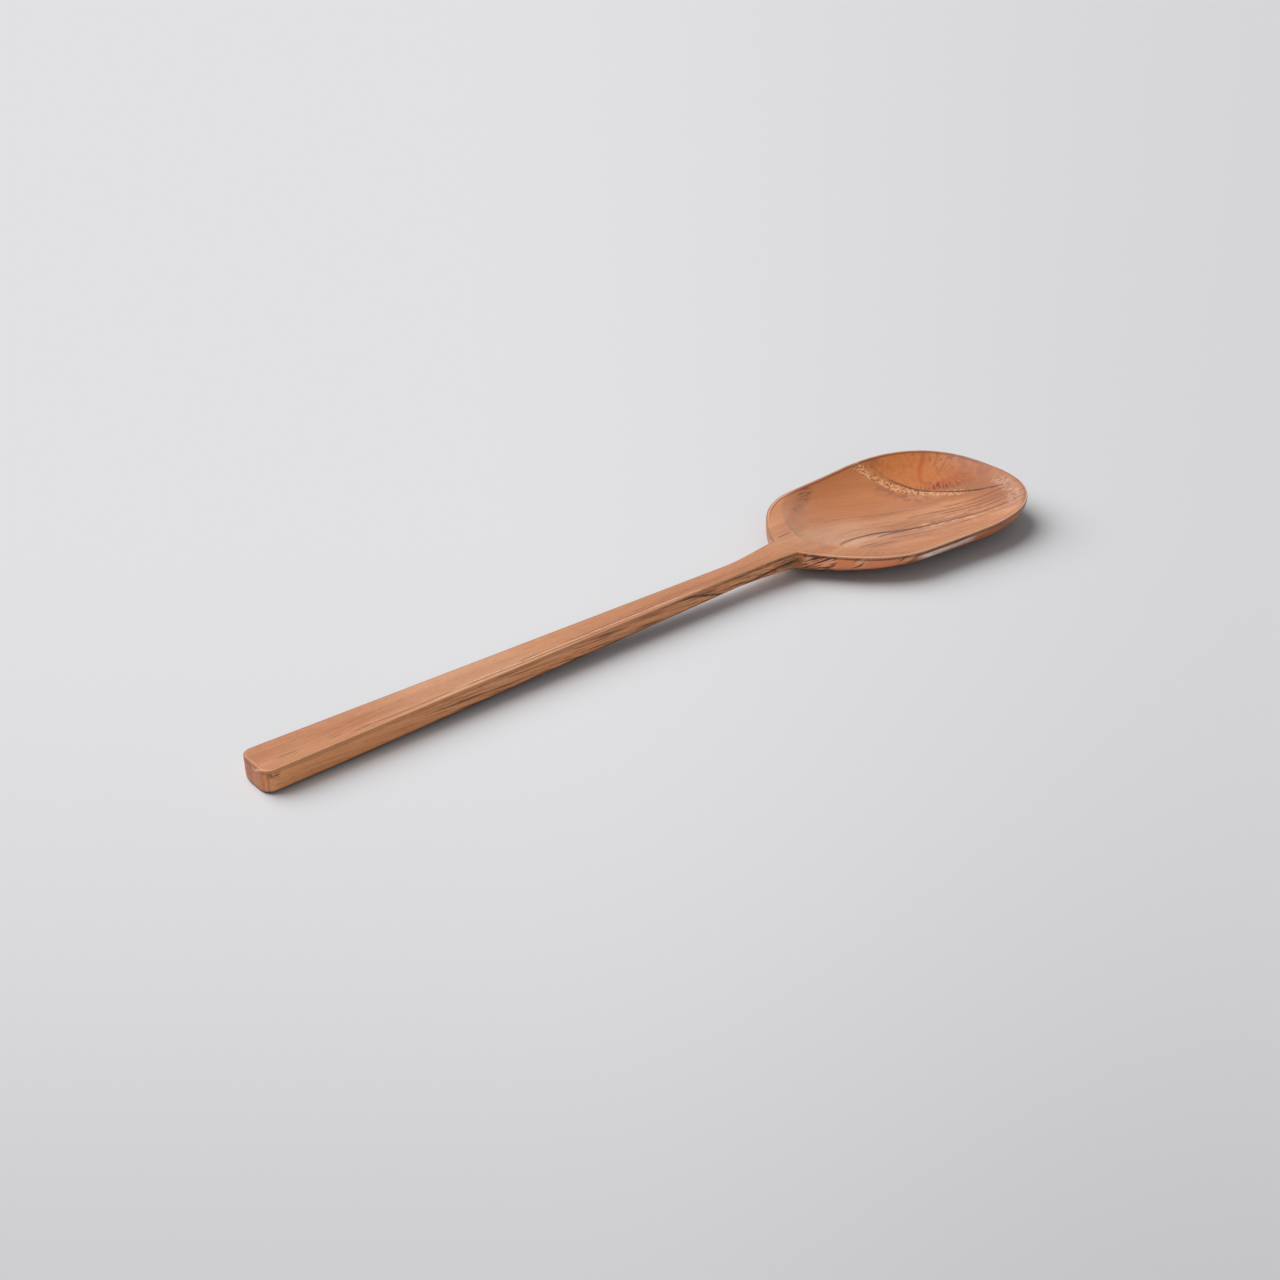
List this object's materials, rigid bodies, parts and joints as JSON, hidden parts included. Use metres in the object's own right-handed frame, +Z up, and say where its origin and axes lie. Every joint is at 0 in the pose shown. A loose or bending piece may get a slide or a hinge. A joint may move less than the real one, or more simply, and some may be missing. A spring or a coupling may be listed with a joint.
{
  "type": "wooden spatula",
  "caption": "Carved teak cooking spatula: a long square handle tapering to a slim neck, and a broad, shallow, hollowed head with a thin rim.",
  "frame": {"origin": "on the table it rests on, under the middle of its bounding box", "axes": "+X from the butt of the handle to the tip of the head, +Z up out of the hollow, +Y across the head"},
  "size_m": [0.3, 0.0686, 0.0122],
  "materials": {
    "teak": "sanded and oiled, satin, with open pores"
  },
  "bodies": {
    "root": {"carved_spatula": "teak"}
  },
  "joints": []
}
